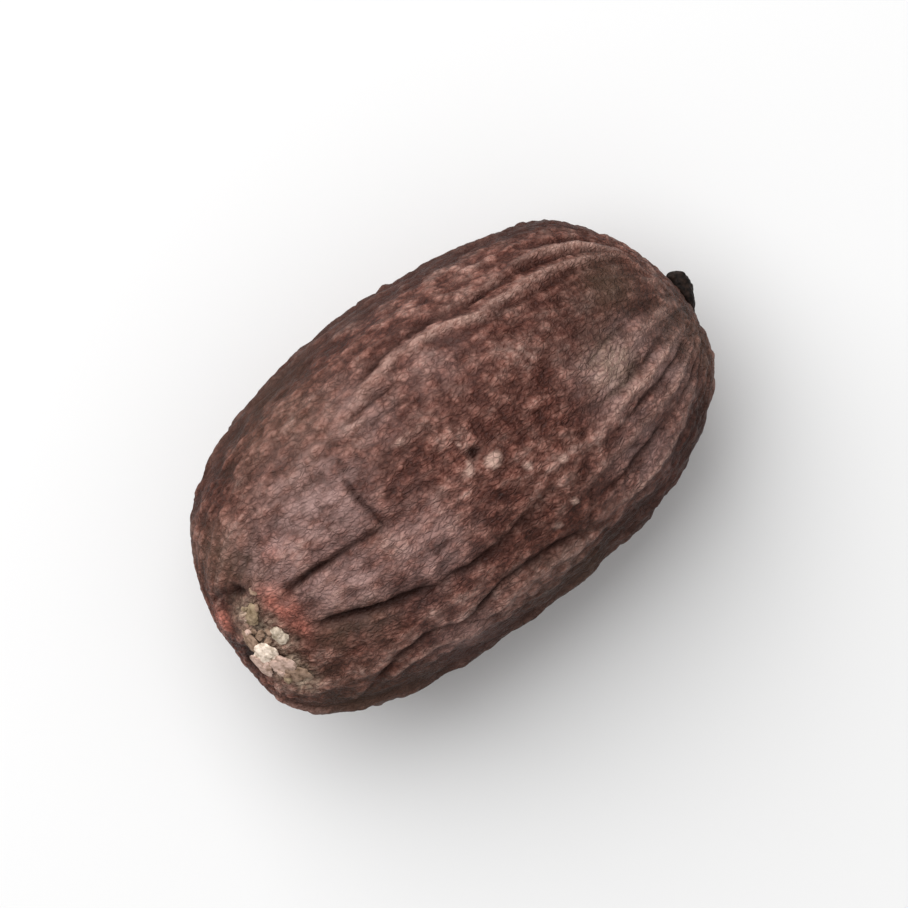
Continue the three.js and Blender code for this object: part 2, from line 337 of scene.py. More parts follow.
def crease_relief(creases, along, around, fade, sharp_share):
    """The height of some creases at each place, and how near it is to the line of a ridge and of a groove."""
    narrowing = np.clip(1 - along**2, 0, 1) ** NARROWING
    relief, crest, groove = np.zeros((3, len(along)))
    for crease in creases:
        share = (along - crease.start) / (crease.end - crease.start)
        start, middle, end = crease.at
        ends = start * (1 - share) * (1 - 2 * share) + end * share * (2 * share - 1)
        lies_at = ends + middle * 4 * share * (1 - share)
        left = smoothstep(along, crease.start - fade, crease.start + fade)
        left = left * (1 - smoothstep(along, crease.end - fade, crease.end + fade))
        offset = turn_between(lies_at, around) * narrowing / crease.wide
        foot = np.exp(-(offset**2))
        middle_line = np.exp(-((offset / SHARP_WIDTH) ** 2))
        relief += crease.height * left * ((1 - sharp_share) * foot + sharp_share * middle_line)
        line = min(abs(crease.height) / FULL_LINE, 1) * left
        if crease.height > 0:
            crest = np.maximum(crest, line * np.exp(-((offset / CREST_WIDTH) ** 2)))
        else:
            groove = np.maximum(groove, line * np.exp(-((offset / GROOVE_WIDTH) ** 2)))
    return relief, crest, groove


def rolled(vectors):
    """Vectors turned about the length of the seed, as it lies."""
    turn = radians(ROLL)
    x, y, z = np.moveaxis(vectors, -1, 0)
    return np.stack([x, y * cos(turn) - z * sin(turn), y * sin(turn) + z * cos(turn)], axis=-1)


def body_points(bend, around):
    """The body without its relief. bend runs from 0 at the scar end to pi at the beak end."""
    turn = np.radians(around)
    along = -np.cos(bend)
    scar_side = along < 0
    above, beside, sway, lift = (np.where(scar_side, scar, beak) for scar, beak in zip(SCAR_END, BEAK_END))
    bluntness = above + (beside - above) * np.sin(turn) ** 2
    profile = (np.abs(along) ** bluntness + np.sin(bend) ** bluntness) ** (-1 / bluntness)
    ring = profile * np.sin(bend)
    across = np.abs(np.cos(turn)) ** SECTION_BLUNTNESS
    upright = np.abs(np.sin(turn)) ** SECTION_BLUNTNESS
    section = (across + upright) ** (-1 / SECTION_BLUNTNESS)
    reach = profile * along
    bent = np.abs(reach) ** BEND_POWER
    x = HALF_LENGTH * reach
    y = HALF_WIDTH * ring * section * np.cos(turn) + sway * bent
    z = HALF_HEIGHT * ring * section * np.sin(turn) + lift * bent
    return rolled(np.stack([x, y, z], axis=-1))


def outward(bend, around):
    """The direction in which the body faces, near enough for low relief."""
    turn = np.radians(around)
    ring = np.sin(bend)
    x = -np.cos(bend) / HALF_LENGTH
    y = ring * np.cos(turn) / HALF_WIDTH
    z = ring * np.sin(turn) / HALF_HEIGHT
    facing = np.stack([x, y, z], axis=-1)
    return rolled(facing / np.linalg.norm(facing, axis=-1, keepdims=True))


def place_on(along, around):
    """A place named by how far along and how far round it is, as a point of the body."""
    return body_points(np.arccos(-np.asarray(along, float)), np.asarray(around, float))


def dent_relief(dents, points):
    relief = np.zeros(len(points))
    for dent in dents:
        distance = np.linalg.norm(points - place_on(dent.along, dent.round), axis=1)
        relief -= dent.depth * np.exp(-((distance / dent.wide) ** 2))
    return relief


def patches(points, places):
    """How much each place belongs to some soft-edged patches, from 0 to 1."""
    amount = np.zeros(len(points))
    for patch in places:
        distance = np.linalg.norm(points - place_on(patch.along, patch.round), axis=1)
        amount = np.maximum(amount, patch.strength * np.exp(-((distance / patch.wide) ** 2)))
    return amount


def noise_at(points, size, shift=0):
    """Smooth noise, from about -1 to 1, with lumps of the given size. Each shift gives another noise."""
    return np.array([noise.noise(point) for point in ((points + shift) / size).tolist()])


def roughened(points):
    """The points moved a little by noise, so that whatever is measured from them gets a ragged outline."""
    moves = [noise_at(points, ROUGHEN_SIZE, shift) for shift in ROUGHEN_SHIFTS]
    return points + ROUGHEN * np.stack(moves, axis=-1)


def cells_at(points, size):
    """1 in the middle of a cell and 0 along the furrows between cells of the given size."""
    nearest = [noise.voronoi(point)[0][:2] for point in (points / size).tolist()]
    first, second = np.array(nearest).T
    return np.clip((second - first) / FURROW_WIDTH, 0, 1)


def grid_places():
    """bend and round of each of the skin's points: the scar tip, the rings, the beak tip."""
    rings = np.pi * np.arange(1, ALONG) / ALONG
    steps = 360 * np.arange(AROUND) / AROUND
    bend, around = np.meshgrid(rings, steps, indexing="ij")
    bend = np.concatenate([[0], bend.ravel(), [np.pi]])
    around = np.concatenate([[TOP], around.ravel(), [TOP]])
    return bend, around


def closed_faces(sides, rings, first=0):
    """Faces of a closed surface of rings between two end points, numbered from `first`."""
    faces = []
    last = first + 1 + rings * sides
    for step in range(sides):
        after = (step + 1) % sides
        faces.append((first, first + 1 + after, first + 1 + step))
        for ring in range(rings - 1):
            near = first + 1 + ring * sides
            far = near + sides
            faces.append((near + step, near + after, far + after, far + step))
        faces.append((last, last - sides + step, last - sides + after))
    return faces


def lengthwise_points(along, around):
    """Places on a round bar, so that noise read there runs from tip to tip and closes round the seed."""
    radius = (HALF_WIDTH + HALF_HEIGHT) / 2
    turn = np.radians(around)
    lengthwise = HALF_LENGTH * along / STREAK_STRETCH
    return np.stack([radius * np.cos(turn), radius * np.sin(turn), lengthwise], axis=-1)


def streak_relief(points, along, around):
    """Lengthwise wrinkles, level on the whole, and lower in the calm stretches."""
    bar = lengthwise_points(along, around + WANDER * noise_at(points, WANDER_SIZE))
    thin = np.exp(-((noise_at(bar, FINE_STREAK_SIZE, shift=7) / STREAK_CREST) ** 2))
    relief = STREAK_HEIGHT * noise_at(bar, STREAK_SIZE) + FINE_STREAK_HEIGHT * thin
    relief -= relief.mean()
    return relief * (1 - CALMING * patches(points, CALM))


def cross_relief(points):
    crosswise = points * np.array([1, CROSS_STRETCH, CROSS_STRETCH])
    return CROSS_HEIGHT * noise_at(crosswise, CROSS_SIZE, shift=11)


def crust_relief(points):
    lumps = noise_at(points, CRUST_SIZE, shift=3)
    lumps += FINE_CRUST_SHARE * noise_at(points, FINE_CRUST_SIZE, shift=9)
    return CRUST_HEIGHT * patches(points, CRUST_PATCHES) * lumps


def grain_cells(points):
    warp = GRAIN_WARP * noise_at(points, GRAIN_WARP_SIZE)
    return cells_at(points / np.array([GRAIN_STRETCH, 1, 1]) + warp[:, None], GRAIN_SIZE)


def grain_height(points):
    """How high the grain is at each place."""
    coarse = 0.5 + 0.5 * np.clip(noise_at(points, COARSE_SIZE, shift=31) * COARSE_CONTRAST, -1, 1)
    return GRAIN_HEIGHT * between(GRAIN_LEAST, 1, coarse)


def painted_rim_shade(along, around):
    """How much each place belongs to the bands of painted rim shade, from 0 to 1."""
    amount = np.zeros(len(along))
    for band in RIM_SHADE_BANDS:
        offset = np.abs(turn_between(band.round, around))
        amount = np.maximum(amount, 1 - smoothstep(offset, band.full, band.none))
    return amount * (1 - smoothstep(np.abs(along), *BAND_ENDS))


def skin_surface():
    """The skin's points, and its relief by kind for the colours."""
    bend, around = grid_places()
    along = -np.cos(bend)
    points = body_points(bend, around)
    shaken = around + SHAKE * noise_at(points, SHAKE_SIZE) + FINE_SHAKE * noise_at(points, FINE_SHAKE_SIZE)
    uneven = CREASE_LEVEL + CREASE_VARIES * noise_at(points, CREASE_VARIES_SIZE, shift=5)
    form, form_crest, form_groove = crease_relief(
        FORM_CREASES + side_ridges(), along, shaken, CREASE_FADE, SHARP_SHARE
    )
    fine, fine_crest, fine_groove = crease_relief(FINE_CREASES, along, shaken, FINE_FADE, FINE_SHARP_SHARE)
    angle = ANGLE_HEIGHT * np.cos(np.radians(ANGLE_COUNT * (around - ANGLE_AT)))
    streaks = streak_relief(points, along, around)
    cross = cross_relief(points)
    lumps = noise_at(points / np.array([LUMP_STRETCH, 1, 1]), LUMP_SIZE, shift=17)
    grain = grain_cells(points)
    ragged = roughened(points)
    warts = dent_relief(WARTS, ragged)
    pits = dent_relief(PITS, ragged)
    clear_of_tips = smoothstep(np.sin(bend), *TIP_FADE)
    clear_of_flat = 1 - smoothstep(-points[:, 2] / HALF_HEIGHT, *FLAT_FADE)
    relief = (uneven * (form + fine) + streaks + angle) * clear_of_tips
    relief = relief + cross + crust_relief(points) + warts + pits
    relief = relief + LUMP_HEIGHT * lumps + grain_height(points) * (grain - 1) + dent_relief(DENTS, points)
    crest = uneven * np.maximum(form_crest, fine_crest) * clear_of_tips
    groove = uneven * np.maximum(form_groove, fine_groove) * clear_of_tips
    marks = {
        # painted shade along the rims; the dark patches of the coat join this mark later
        "dark": painted_rim_shade(along, shaken),
        "crest": crest,
        "groove": np.maximum(groove, smoothstep(-pits, *PIT_SHOWS)),
        "wart": smoothstep(warts, *WART_SHOWS),
        "streak": np.clip((streaks * clear_of_tips + cross) / STREAK_SHOWS, -1, 1),
        "lump": np.clip(lumps * LUMP_CONTRAST, -1, 1),
        "grain": grain,
    }
    points = points + outward(bend, around) * (relief * clear_of_flat)[:, None]
    points[:, 2] = np.maximum(points[:, 2], GROUND)
    return points, marks


# Patches of colour; the pale ones are a bloom with painted highlight on it
PALE_BLOOM_AND_HIGHLIGHT_PATCHES = [
    Patch(-0.66, 76, 1.1, 0.95),
    Patch(-0.45, 74, 1.5, 1),
    Patch(-0.15, 60, 1.2, 0.5),
    Patch(0.15, 60, 1.2, 0.25),
    Patch(-0.5, 104, 1.1, 0.85),
    Patch(-0.6, 100, 0.8, 0.8),
    Patch(-0.25, 108, 1.3, 0.7),
    Patch(0.61, 100.5, 0.85, 1),
    Patch(0.74, 97, 0.75, 0.9),
    Patch(0.62, 114, 1.1, 0.6),
    Patch(0.8, 120, 1.3, 0.7),
    Patch(0.55, 140, 1.2, 0.6),
    Patch(-0.3, 150, 1.2, 0.5),
]
DARK_PATCHES = [
    Patch(0.62, 74, 1.6, 0.6),
    Patch(0.36, 80, 1.3, 0.15),
    Patch(0.8, 67, 0.9, 0.9),
]
GREY_PATCHES = [
    Patch(-0.65, 117, 0.8, 1),
    Patch(-0.53, 122, 0.8, 0.9),
    Patch(0.8, 66, 1, 1),
    Patch(0.9, 108, 1.5, 0.6),
    Patch(-0.8, 56, 1.4, 0.8),
    Patch(-0.4, 40, 2.4, 0.6),
    Patch(-0.7, 165, 2, 0.8),
    Patch(0.1, 165, 2.2, 0.6),
    Patch(0.95, 140, 1.8, 0.8),
]
RED_PATCHES = [
    Patch(-0.66, 73, 0.3, 0.25),
    Patch(-0.765, 87, 0.34, 0.9),
    Patch(-0.75, 96, 0.34, 1),
    Patch(-0.735, 106, 0.34, 0.9),
    Patch(-0.94, 58, 0.34, 0.9),
]
CORK_PATCHES = [
    Patch(-0.87, 96, 0.5, 0.85),
    Patch(-0.84, 108, 0.42, 0.9),
    Patch(-0.91, 110, 0.42, 0.9),
    Patch(-0.87, 122, 0.5, 1),
    Patch(-0.83, 134, 0.42, 0.8),
    Patch(-0.86, 82, 0.4, 0.85),
    Patch(0.64, 99.5, 0.75, 0.3),  # the pale patch on the first pleat, bloom with painted highlight
]
PATCHES = {
    "pale": PALE_BLOOM_AND_HIGHLIGHT_PATCHES,
    "dark": DARK_PATCHES,
    "grey": GREY_PATCHES,
    "red": RED_PATCHES,
    "cork": CORK_PATCHES,
}


def new_piece(name, points, faces, material, marks):
    """A smooth mesh on the seed's body, with each mark as an attribute that its material reads."""
    mesh = bpy.data.meshes.new(name)
    mesh.from_pydata((points * MM).tolist(), [], faces)
    mesh.polygons.foreach_set("use_smooth", [True] * len(mesh.polygons))
    for mark, values in marks.items():
        layer = mesh.attributes.new(mark, "FLOAT", "POINT")
        layer.data.foreach_set("value", values.astype(np.float32))
    mesh.materials.append(material)
    piece = bpy.data.objects.new(name, mesh)
    bpy.context.scene.collection.objects.link(piece)
    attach(piece, "root")
    return piece


# Node helpers
def new_material(name):
    """A material, its node tree and its shader."""
    material = bpy.data.materials.new(name)
    material.use_nodes = True
    tree = material.node_tree
    return material, tree, tree.nodes["Principled BSDF"]


def attribute(tree, name):
    node = tree.nodes.new("ShaderNodeAttribute")
    node.attribute_name = name
    return node.outputs["Fac"]


def set_input(tree, socket, value):
    if isinstance(value, bpy.types.NodeSocket):
        tree.links.new(value, socket)
    else:
        socket.default_value = value


def place_in_object(tree, stretch):
    """The place in the object's own space, so divided that what is read there comes out stretched."""
    place = tree.nodes.new("ShaderNodeTexCoord")
    mapping = tree.nodes.new("ShaderNodeMapping")
    mapping.inputs["Scale"].default_value = [1 / part for part in stretch]
    tree.links.new(place.outputs["Object"], mapping.inputs["Vector"])
    return mapping.outputs["Vector"]


def noise_texture(tree, size, detail=3, stretch=(1, 1, 1)):
    """Noise from 0 to 1, with lumps of the given size in millimetres."""
    node = tree.nodes.new("ShaderNodeTexNoise")
    node.inputs["Scale"].default_value = 1 / (size * MM)
    node.inputs["Detail"].default_value = detail
    tree.links.new(place_in_object(tree, stretch), node.inputs["Vector"])
    return node.outputs["Fac"]


def pebble_texture(tree, size, stretch, warp):
    """0 in the gaps between pebbles of the given size, rising towards their middles. warp is by how much, in
    millimetres, their outlines wander."""
    wander = tree.nodes.new("ShaderNodeTexNoise")
    wander.inputs["Scale"].default_value = 1 / (size * MM)
    place = place_in_object(tree, stretch)
    tree.links.new(place, wander.inputs["Vector"])
    add = tree.nodes.new("ShaderNodeVectorMath")
    add.operation = "MULTIPLY_ADD"
    tree.links.new(wander.outputs["Color"], add.inputs[0])
    add.inputs[1].default_value = [warp * MM] * 3
    tree.links.new(place, add.inputs[2])
    node = tree.nodes.new("ShaderNodeTexVoronoi")
    node.feature = "DISTANCE_TO_EDGE"
    node.inputs["Scale"].default_value = 1 / (size * MM)
    tree.links.new(add.outputs[0], node.inputs["Vector"])
    return node.outputs["Distance"]


def maths(tree, operation, first, second):
    node = tree.nodes.new("ShaderNodeMath")
    node.operation = operation
    set_input(tree, node.inputs[0], first)
    set_input(tree, node.inputs[1], second)
    return node.outputs[0]


def product(tree, first, second):
    return maths(tree, "MULTIPLY", first, second)


def mapped(tree, value, given, wanted):
    """The value brought from one pair of limits to another, and kept between them."""
    node = tree.nodes.new("ShaderNodeMapRange")
    set_input(tree, node.inputs["Value"], value)
    for name, number in zip(("From Min", "From Max", "To Min", "To Max"), (*given, *wanted)):
        node.inputs[name].default_value = number
    return node.outputs["Result"]


# The mix node names its sockets alike for each kind of value, so those for colours go by number.
MIX_FIRST = 6
MIX_SECOND = 7
MIX_RESULT = 2


def mixed(tree, share, first, second, blend="MIX"):
    node = tree.nodes.new("ShaderNodeMix")
    node.data_type = "RGBA"
    node.blend_type = blend
    set_input(tree, node.inputs["Factor"], share)
    set_input(tree, node.inputs[MIX_FIRST], first)
    set_input(tree, node.inputs[MIX_SECOND], second)
    return node.outputs[MIX_RESULT]


def ramp(tree, value, stops):
    node = tree.nodes.new("ShaderNodeValToRGB")
    set_input(tree, node.inputs["Fac"], value)
    elements = node.color_ramp.elements
    while len(elements) < len(stops):
        elements.new(0.5)  # its own place comes below
    for element, (place, shade) in zip(elements, stops):
        element.position = place
        element.color = shade
    return node.outputs["Color"]


def bump(tree, shader, height, depth):
    """depth is in millimetres, for a height from 0 to 1."""
    node = tree.nodes.new("ShaderNodeBump")
    node.inputs["Distance"].default_value = depth * MM
    tree.links.new(height, node.inputs["Height"])
    tree.links.new(node.outputs["Normal"], shader.inputs["Normal"])


def colour(red, green, blue):
    """The shader's colour for one that shows in the picture with these values, from 0 to 255."""
    return (*(((part / 255 + 0.055) / 1.055) ** 2.4 for part in (red, green, blue)), 1)


# Colours of the coat, and of the shade and highlight painted on it
# painted shade in creases, pits and furrows
CREVICE_SHADE = colour(38, 15, 9)
# the coat in its hollows with painted shade, its own colour, and on its heights with painted highlight
HOLLOW_SHADE_COAT = colour(88, 49, 40)
COAT = colour(120, 77, 66)
HIGHLIGHT_COAT = colour(150, 107, 95)
# crests of creases: paler by wear, and with painted highlight
LOW_CREST_WEAR_AND_HIGHLIGHT = colour(148, 110, 98)
CREST_WEAR_AND_HIGHLIGHT = colour(181, 146, 134)
WART = colour(188, 156, 142)
# pale bloom with painted highlight
PALE_BLOOM_AND_HIGHLIGHT = colour(170, 138, 132)
# dark patches of the coat, and the painted shade along the rims
DARK_COAT_AND_RIM_SHADE = colour(54, 29, 23)
GREY_COAT = colour(80, 66, 52)
RED_SKIN = colour(204, 124, 107)
CORK = colour(196, 174, 152)
# painted shade in the grain's furrows
GRAIN_FURROW_SHADE = colour(44, 20, 14)

# The tone of the coat, with painted shade in its hollows and painted highlight on its heights, and how much
# each relief and noise counts in it
COAT_TONES = [(0.05, CREVICE_SHADE), (0.34, HOLLOW_SHADE_COAT), (0.5, COAT), (0.66, HIGHLIGHT_COAT), (0.95, CREST_WEAR_AND_HIGHLIGHT)]
STREAK_COUNTS = 0.4
LUMP_COUNTS = 0.38
FINE_COUNTS = 0.3
MOTTLE_COUNTS = 0.2
BLOTCH_COUNTS = 0.2
NOISE_LIMITS = (0.3, 0.7)  # between which most of a noise lies
# Sizes of its noises, and how much longer than wide some are
FINE_SIZE = 0.13
MOTTLE_SIZE = 0.4
MOTTLE_STRETCH = (1.4, 1, 1)
BLOTCH_SIZE = 1.6
# Painted shade in the grain's furrows; and pebbles too small for the mesh, with painted shade in their gaps in
# some stretches only
GRAIN_SHOWS = 0.7
PEBBLE_SIZE = 0.15
PEBBLE_STRETCH = (1.6, 1, 1)
PEBBLE_WARP = 0.2
PEBBLE_GAP = (0, 0.16)  # from a gap's middle to its edge, as shares of a pebble
GAP_SIZE = 0.8
GAP_LIMITS = (0.38, 0.62)
GAP_SHARES = (0.08, 0.5)
# The crests of creases, paler by wear and by painted highlight, broken up and dimmed in the bands of painted
# rim shade
CREST_TONES = [(0.35, LOW_CREST_WEAR_AND_HIGHLIGHT), (0.6, CREST_WEAR_AND_HIGHLIGHT)]
CREST_BREAK_SIZE = 0.3
CREST_BREAK_LIMITS = (0.35, 0.6)
CREST_SHARES = (0.5, 1)
CREST_DIMMING = 0.9
WART_TONES = [(0.35, CREST_WEAR_AND_HIGHLIGHT), (0.6, WART)]
# The coat's shine, and its relief that is too small for the mesh
COAT_ROUGHNESS = (0.46, 0.66)
COAT_SPECULAR = 0.16
COAT_BUMP = 0.045
COAT_BUMP_SIZE = 0.11
COAT_BUMP_STRETCH = (1.5, 1, 1)
PEBBLE_RISE = (0, 0.3)
PEBBLE_BUMP = (0, 0.7)

# How a kind of patch covers the coat: the noise that breaks it up, the limits of that noise between which it
# comes in, its share below them, its share in full, and its colour
Cover = namedtuple("Cover", "mark noise limits least full shade")
COVERS = [
    # pale bloom with painted highlight
    Cover("pale", "mottle", (0.35, 0.6), 0.25, 0.9, PALE_BLOOM_AND_HIGHLIGHT),
    # dark patches of the coat, and the painted shade along the rims
    Cover("dark", "blotch", (0.3, 0.6), 0.6, 0.9, DARK_COAT_AND_RIM_SHADE),
    Cover("grey", "blotch", (0.35, 0.65), 0.55, 0.6, GREY_COAT),
]
SCAR_COVERS = [
    Cover("red", "fine", (0.3, 0.6), 0.4, 1, RED_SKIN),
    Cover("cork", "fine", (0.38, 0.58), 0.3, 1, CORK),
]


def covered(tree, tone, covers, noises):
    """The tone with some kinds of patches laid over it."""
    for cover in covers:
        left = mapped(tree, noises[cover.noise], cover.limits, (cover.least, 1))
        amount = product(tree, attribute(tree, cover.mark), left)
        tone = mixed(tree, product(tree, amount, cover.full), tone, cover.shade)
    return tone


def relief_shaded_coat_tone(tree, noises):
    """The coat's colour by how high a place seems to lie: painted shade in its hollows, painted highlight on
    its heights, and painted shade in the grain's furrows.
    """
    parts = [
        mapped(tree, noises["fine"], NOISE_LIMITS, (-FINE_COUNTS, FINE_COUNTS)),
        mapped(tree, noises["mottle"], NOISE_LIMITS, (-MOTTLE_COUNTS, MOTTLE_COUNTS)),
        product(tree, attribute(tree, "lump"), LUMP_COUNTS),
        mapped(tree, noises["blotch"], NOISE_LIMITS, (-BLOTCH_COUNTS, BLOTCH_COUNTS)),
    ]
    height = product(tree, attribute(tree, "streak"), STREAK_COUNTS)
    for part in parts:
        height = maths(tree, "ADD", height, part)
    tone = ramp(tree, mapped(tree, height, (-1, 1), (0, 1)), COAT_TONES)
    # painted shade in the grain's furrows
    furrow = maths(tree, "SUBTRACT", 1, attribute(tree, "grain"))
    return mixed(tree, product(tree, furrow, GRAIN_SHOWS), tone, GRAIN_FURROW_SHADE)


def crest_share(tree):
    """How much of a crease's pale crest, worn paler and with painted highlight, shows at each place."""
    broken = mapped(tree, noise_texture(tree, CREST_BREAK_SIZE), CREST_BREAK_LIMITS, CREST_SHARES)
    lit = maths(tree, "SUBTRACT", 1, product(tree, attribute(tree, "dark"), CREST_DIMMING))
    return product(tree, product(tree, attribute(tree, "crest"), lit), broken)


def coat_material():
    material, tree, shader = new_material("seed coat")
    fine = noise_texture(tree, FINE_SIZE)
    noises = {
        "fine": fine,
        "mottle": noise_texture(tree, MOTTLE_SIZE, stretch=MOTTLE_STRETCH),
        "blotch": noise_texture(tree, BLOTCH_SIZE),
    }
    tone = covered(tree, relief_shaded_coat_tone(tree, noises), COVERS, noises)
    # pale crest lines: paler wear and painted highlight
    tone = mixed(tree, crest_share(tree), tone, ramp(tree, fine, CREST_TONES))
    # painted shade along the grooves and in the pits
    tone = mixed(tree, attribute(tree, "groove"), tone, CREVICE_SHADE)
    tone = mixed(tree, attribute(tree, "wart"), tone, ramp(tree, fine, WART_TONES))
    tone = covered(tree, tone, SCAR_COVERS, noises)
    # painted shade in the gaps between pebbles, in some stretches only
    pebbles = pebble_texture(tree, PEBBLE_SIZE, PEBBLE_STRETCH, PEBBLE_WARP)
    gaps_show = mapped(tree, noise_texture(tree, GAP_SIZE), GAP_LIMITS, GAP_SHARES)
    gaps = product(tree, mapped(tree, pebbles, PEBBLE_GAP, (1, 0)), gaps_show)
    tree.links.new(mixed(tree, gaps, tone, CREVICE_SHADE), shader.inputs["Base Color"])
    tree.links.new(mapped(tree, fine, NOISE_LIMITS, COAT_ROUGHNESS), shader.inputs["Roughness"])
    shader.inputs["Specular IOR Level"].default_value = COAT_SPECULAR
    rough = noise_texture(tree, COAT_BUMP_SIZE, detail=4, stretch=COAT_BUMP_STRETCH)
    bump(tree, shader, maths(tree, "ADD", rough, mapped(tree, pebbles, PEBBLE_RISE, PEBBLE_BUMP)), COAT_BUMP)
    return material


def skin_piece(material):
    points, marks = skin_surface()
    ragged = roughened(points)
    for kind, places in PATCHES.items():
        marks[kind] = np.maximum(marks.get(kind, 0), patches(ragged, places))
    piece = new_piece("skin", points, closed_faces(AROUND, ALONG - 1), material, marks)
    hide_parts("seed")
    return piece


# The beak: a wrinkled comma that leans against the body's tip, with a thick head and a tail that thins along
# the rim. Its two ends are measured from the body's beak tip.
BEAK_HEAD = (0.06, 0.74, -0.3)
BEAK_TAIL = (-0.16, -0.74, -0.2)
BEAK_BULGE = 0.16  # by which its middle line bows out
BEAK_RADIUS = 0.3
BEAK_TAPER = 0.6  # under 1 the thickest place is nearer the head
BEAK_FULLNESS = 0.8  # under 1 it stays thick nearer its ends
BEAK_WRINKLES = 0.25  # how deep they are, as a share of its radius
BEAK_WRINKLE_SIZE = 0.24
BEAK_FINE_SIZE = 0.1
BEAK_FINE_SHARE = 0.5
BEAK_STEPS = (56, 60)  # round it, and along it
BEAK_TONES = [(0.35, colour(14, 9, 7)), (0.65, colour(44, 31, 25))]
BEAK_SPECK_SIZE = 0.12
BEAK_ROUGHNESS = 0.65
BEAK_SPECULAR = 0.15
BEAK_BUMP = 0.03
BEAK_BUMP_SIZE = 0.08


def beak_piece(material):
    sides, rings = BEAK_STEPS
    share = (1 - np.cos(np.pi * np.arange(1, rings + 1) / (rings + 1))) / 2
    turn = 2 * np.pi * np.arange(sides) / sides
    radius = BEAK_RADIUS * np.sin(np.pi * share**BEAK_TAPER) ** BEAK_FULLNESS
    head, tail = np.array(BEAK_HEAD), np.array(BEAK_TAIL)
    bow = np.outer(4 * share * (1 - share), [BEAK_BULGE, 0, 0])
    middle = head + np.outer(share, tail - head) + bow
    facing = np.stack([np.sin(turn), np.zeros(sides), np.cos(turn)], axis=-1)
    points = (middle[:, None] + radius[:, None, None] * facing).reshape(-1, 3)
    wrinkles = noise_at(points, BEAK_WRINKLE_SIZE, shift=2)
    wrinkles += BEAK_FINE_SHARE * noise_at(points, BEAK_FINE_SIZE, shift=4)
    points += BEAK_WRINKLES * (np.repeat(radius, sides) * wrinkles)[:, None] * np.tile(facing, (rings, 1))
    points = np.concatenate([[head], points, [tail]]) + place_on(1, TOP)
    return new_piece("beak", points, closed_faces(sides, rings), material, {})


def beak_material():
    material, tree, shader = new_material("dark beak")
    tone = ramp(tree, noise_texture(tree, BEAK_SPECK_SIZE), BEAK_TONES)
    tree.links.new(tone, shader.inputs["Base Color"])
    shader.inputs["Roughness"].default_value = BEAK_ROUGHNESS
    shader.inputs["Specular IOR Level"].default_value = BEAK_SPECULAR
    bump(tree, shader, noise_texture(tree, BEAK_BUMP_SIZE), BEAK_BUMP)
    return material


# Corky crumbs left on the scar: where, half sizes along the seed, round it and outwards, and their colours
CREAM = (228, 210, 194)
PINK_CORK = (192, 164, 151)
GREEN_CORK = (196, 181, 163)
YELLOW_CORK = (152, 132, 108)
TAN = (150, 124, 106)
Crumb = namedtuple("Crumb", "along round half_sizes shade")
CRUMBS = [
    Crumb(-0.9, 111, (0.42, 0.38, 0.11), CREAM),
    Crumb(-0.867, 120, (0.42, 0.32, 0.1), PINK_CORK),
    Crumb(-0.837, 129, (0.34, 0.3, 0.07), TAN),
    Crumb(-0.935, 117, (0.28, 0.4, 0.08), PINK_CORK),
    Crumb(-0.82, 104, (0.24, 0.24, 0.1), GREEN_CORK),
    Crumb(-0.855, 83, (0.3, 0.28, 0.08), YELLOW_CORK),
    Crumb(-0.92, 94, (0.22, 0.36, 0.06), TAN),
]
# Small crumbs between and around them, by a seeded draw
SMALL_CRUMBS = 22
SMALL_ALONG = (-0.92, -0.79)
SMALL_ROUND = (74, 134)
SMALL_SIZES = (0.07, 0.16)
SMALL_THICKNESS = 0.6  # as a share of the smaller of the other two half sizes
SMALL_SHADES = (TAN, YELLOW_CORK, PINK_CORK, TAN)
SMALL_SEED = 11
CRUMB_STEPS = (64, 40)  # round one, and from end to end
# A crumb's lumps: their sizes as shares of the crumb's half size, and how far they stand out
CRUMB_LUMPS = [(1.1, 0.5), (0.45, 0.22), (0.18, 0.1)]
CRUMB_SINK = 0.02
CRUMB_SPECK_SIZE = 0.16
# Darker and yellower specks, by which a crumb's colour is multiplied
CRUMB_SPECKS = [(0.32, (0.45, 0.42, 0.36, 1)), (0.6, (1.12, 1.12, 1.12, 1))]
CRUMB_ROUGHNESS = 0.8
CRUMB_SPECULAR = 0.2
CRUMB_BUMP = 0.03
CRUMB_BUMP_SIZE = 0.09


def crumb_points(crumb):
    """A squashed, crusty ball on the surface, turned to face outwards there."""
    sides, rings = CRUMB_STEPS
    leans = np.pi * np.arange(1, rings + 1) / (rings + 1)
    turns = 2 * np.pi * np.arange(sides) / sides
    lean, turn = np.meshgrid(leans, turns, indexing="ij")
    ball = np.stack([np.sin(lean) * np.cos(turn), np.sin(lean) * np.sin(turn), -np.cos(lean)], axis=-1)
    ball = np.concatenate([[[0, 0, -1]], ball.reshape(-1, 3), [[0, 0, 1]]])
    lumpy = sum((height * noise_at(ball, size, crumb.round) for size, height in CRUMB_LUMPS), start=1)
    ball = ball * lumpy[:, None] * np.array(crumb.half_sizes)
    bend = np.arccos(-crumb.along)
    facing = outward(bend, crumb.round)
    across = np.cross(facing, [1, 0, 0])
    across /= np.linalg.norm(across)
    lengthwise = np.cross(across, facing)
    centre = place_on(crumb.along, crumb.round)
    centre = centre + facing * (dent_relief(DENTS, centre[None]) - CRUMB_SINK)
    return centre + ball @ np.array([lengthwise, across, facing])


def small_crumbs():
    draws = draws_from(SMALL_SEED)
    made = []
    for number in range(SMALL_CRUMBS):
        along = between(*SMALL_ALONG, next(draws))
        place = between(*SMALL_ROUND, next(draws))
        half_sizes = [between(*SMALL_SIZES, next(draws)) for _ in range(2)]
        thickness = min(half_sizes) * SMALL_THICKNESS
        shade = SMALL_SHADES[number % len(SMALL_SHADES)]
        made.append(Crumb(along, place, (*half_sizes, thickness), shade))
    return made


